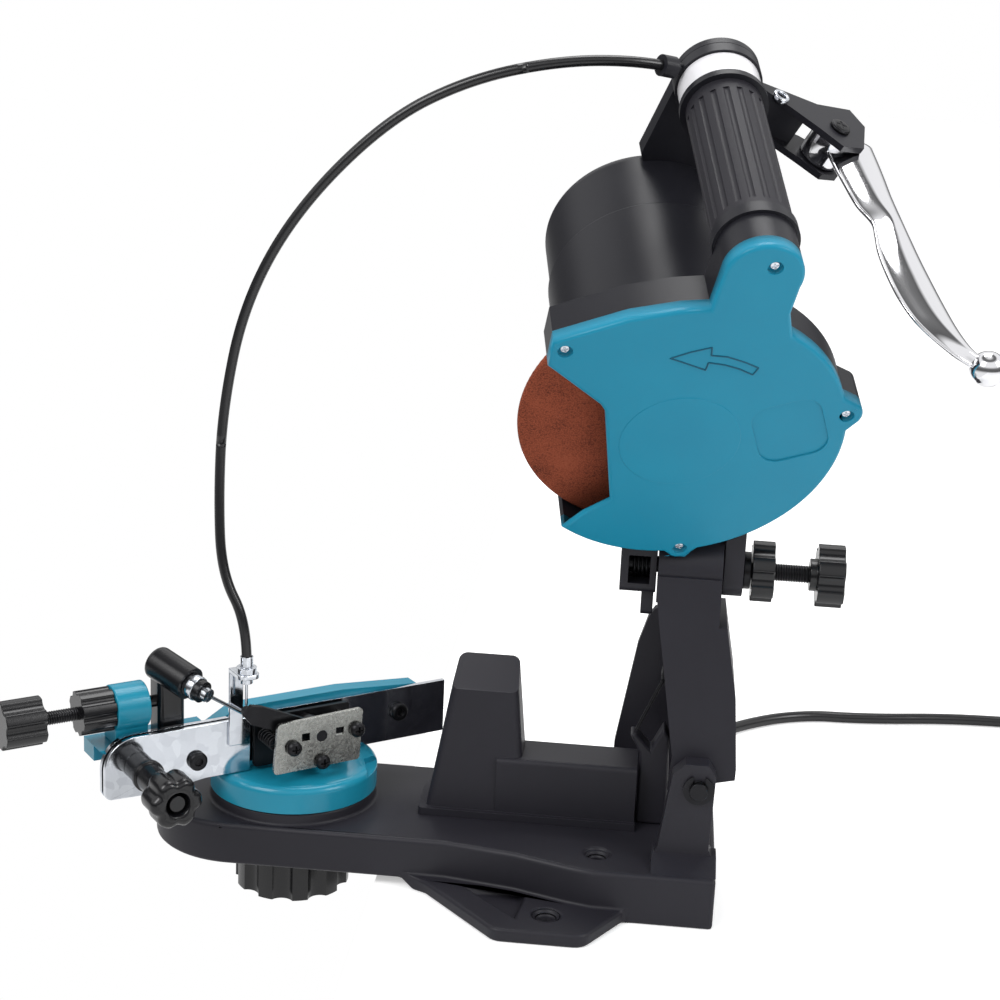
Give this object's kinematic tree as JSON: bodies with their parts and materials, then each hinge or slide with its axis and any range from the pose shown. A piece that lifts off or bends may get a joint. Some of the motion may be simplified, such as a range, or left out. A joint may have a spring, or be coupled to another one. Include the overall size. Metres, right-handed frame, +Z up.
{
  "type": "electric chainsaw sharpener",
  "caption": "Bench grinder for saw chain: tilting grinding head on a sprung swing arm over a turntable chain vice that a hand lever and a cable clamp.",
  "frame": {"origin": "midway between the two bench-bolt holes, on the bench surface under the base", "axes": "+X along the base from the round nose to the arm's pivot, +Y away from the operator, +Z up"},
  "size_m": [0.6273, 0.4842, 0.439],
  "materials": {
    "charcoal_plastic": "moulded, fine grain",
    "black_plastic": "moulded, semi-matt",
    "teal_plastic": "smooth moulded",
    "teal_paint": "powder coat",
    "grip_rubber": "fluted",
    "cord_rubber": "smooth",
    "zinc_steel": "bright zinc plate",
    "black_steel": "black oxide",
    "white_band": "bright band over a steel tube",
    "polished_alloy": "polished",
    "bearing_steel": "ground",
    "winding_steel": "lamination stack and varnished winding",
    "abrasive": "bonded aluminium oxide"
  },
  "bodies": {
    "base": {"base_casting": "charcoal_plastic", "guide_block": "charcoal_plastic", "cheek_near": "charcoal_plastic", "cheek_far": "charcoal_plastic", "spring_horn": "charcoal_plastic", "pivot_pin": "zinc_steel", "clip_near": "black_steel", "clip_far": "black_steel", "strain_relief": "charcoal_plastic", "cord_tube": "cord_rubber", "cord_coil": "cord_rubber", "cord_plug": "charcoal_plastic"},
    "turntable": {"turntable": "teal_paint", "vice_bridge": "teal_paint", "rail_rear": "black_steel", "rail_front": "zinc_steel", "rail_bolt_right": "black_steel", "rail_bolt_left": "black_steel", "clamp_plate": "zinc_steel", "jaw_spring": "black_steel", "cable_anchor": "zinc_steel", "cable_ferrule": "zinc_steel", "inner_wire": "zinc_steel", "stop_bracket": "teal_paint", "front_stud": "black_plastic"},
    "jaw": {"jaw_plate": "black_steel"},
    "cam": {"cam_arm": "black_steel"},
    "stop_screw": {"stop_screw": "black_plastic"},
    "stop_nut": {"stop_nut": "black_plastic"},
    "stop_post": {"stop_post": "black_plastic"},
    "pawl": {"pawl": "zinc_steel"},
    "front_knob": {"front_knob": "black_plastic"},
    "lock_knob": {"lock_knob": "black_plastic"},
    "arm": {"swing_arm": "charcoal_plastic", "return_spring": "black_steel", "bowden_cable": "cord_rubber"},
    "head": {"guard_front": "teal_plastic", "guard_rear": "black_plastic", "motor_housing": "black_plastic", "motor_cap": "black_plastic", "bearing_front": "bearing_steel", "bearing_rear": "bearing_steel", "stator": "winding_steel", "grip": "grip_rubber", "handle_core": "white_band", "handle_support": "charcoal_plastic", "switch_body": "black_plastic", "yoke": "charcoal_plastic", "tilt_bolt": "black_steel", "tilt_spring": "black_steel", "lever_bracket": "black_plastic", "lever_pivot": "black_steel"},
    "spindle": {"rotor": "bearing_steel", "grinding_disc": "abrasive", "flange_outer": "zinc_steel", "disc_nut": "zinc_steel"},
    "tilt_knob": {"tilt_knob": "black_plastic"},
    "end_knob": {"end_knob": "black_plastic"},
    "lever": {"brake_lever": "polished_alloy"},
    "rocker": {"rocker": "black_plastic"}
  },
  "joints": [
    {"name": "arm_swing", "type": "hinge", "parent": "base", "child": "arm", "pos_m": [0.069, 0, 0.0655], "axis": [0, 1, 0], "range_deg": [-40, 0], "stiffness_Nm_per_rad": 10, "springref_deg": 20.05, "deforming": ["return_spring", "bowden_cable"]},
    {"name": "head_tilt", "type": "hinge", "parent": "arm", "child": "head", "pos_m": [0.06, 0, 0.163], "axis": [1, 0, 0], "range_deg": [-33, 0]},
    {"name": "disc_spin", "type": "hinge", "parent": "head", "child": "spindle", "pos_m": [0.045, -0.049, 0.2497], "axis": [-0.1655, 0.8348, 0.525], "continuous": true},
    {"name": "lever_pull", "type": "hinge", "parent": "head", "child": "lever", "pos_m": [0.10969, 0.01929, 0.37179], "axis": [-0.4466, 0.4112, -0.7946], "range_deg": [0, 20], "stiffness_Nm_per_rad": 0.6, "springref_deg": -14.32},
    {"name": "tilt_lock_turn", "type": "hinge", "parent": "head", "child": "tilt_knob", "pos_m": [0.093, 0, 0.163], "axis": [1, 0, 0], "range_deg": [-180, 180]},
    {"name": "end_knob_turn", "type": "hinge", "parent": "head", "child": "end_knob", "pos_m": [0.126, 0, 0.163], "axis": [1, 0, 0], "range_deg": [-180, 180]},
    {"name": "rocker_press", "type": "hinge", "parent": "head", "child": "rocker", "pos_m": [0.02798, 0.07682, 0.30369], "axis": [0.9537, 0, 0.3007], "range_deg": [-10, 0]},
    {"name": "turntable_turn", "type": "hinge", "parent": "base", "child": "turntable", "pos_m": [-0.138, 0, 0.039], "axis": [0, 0, 1], "range_deg": [-8, 88]},
    {"name": "lock_knob_turn", "type": "hinge", "parent": "turntable", "child": "lock_knob", "pos_m": [-0.138, 0, -0.01], "axis": [0, 0, 1], "range_deg": [-180, 180]},
    {"name": "cam_turn", "type": "hinge", "parent": "turntable", "child": "cam", "pos_m": [-0.12236, -0.01928, 0.0675], "axis": [-0.6018, 0.7986, 0], "range_deg": [0, 12], "deforming": ["inner_wire"]},
    {"name": "jaw_slide", "type": "slide", "parent": "turntable", "child": "jaw", "axis": [-0.6018, 0.7986, 0], "range_m": [0, 0.0012], "deforming": ["jaw_spring"]},
    {"name": "front_knob_turn", "type": "hinge", "parent": "turntable", "child": "front_knob", "pos_m": [-0.1818, -0.08912, 0.06], "axis": [-0.6018, 0.7986, 0], "range_deg": [-180, 180]},
    {"name": "stop_screw_turn", "type": "hinge", "parent": "turntable", "child": "stop_screw", "pos_m": [-0.21709, -0.0506, 0.086], "axis": [0.7986, 0.6018, 0], "range_deg": [-1080, 1080]},
    {"name": "stop_nut_turn", "type": "hinge", "parent": "stop_screw", "child": "stop_nut", "pos_m": [-0.21709, -0.0506, 0.086], "axis": [0.7986, 0.6018, 0], "range_deg": [-180, 180]},
    {"name": "stop_slide", "type": "slide", "parent": "turntable", "child": "stop_post", "axis": [0.7986, 0.6018, 0], "range_m": [-0.0038, 0.0038]},
    {"name": "pawl_flip", "type": "hinge", "parent": "stop_post", "child": "pawl", "pos_m": [-0.17409, -0.04859, 0.09614], "axis": [0.8393, -0.4807, -0.254], "range_deg": [0, 30]}
  ],
  "couplings": [
    {"joint": "cam_turn", "follows": "lever_pull", "ratio": 0.6},
    {"joint": "jaw_slide", "follows": "lever_pull", "m_per_rad": 0.0034034},
    {"joint": "stop_slide", "follows": "stop_screw_turn", "m_per_rad": 0.00019894}
  ]
}
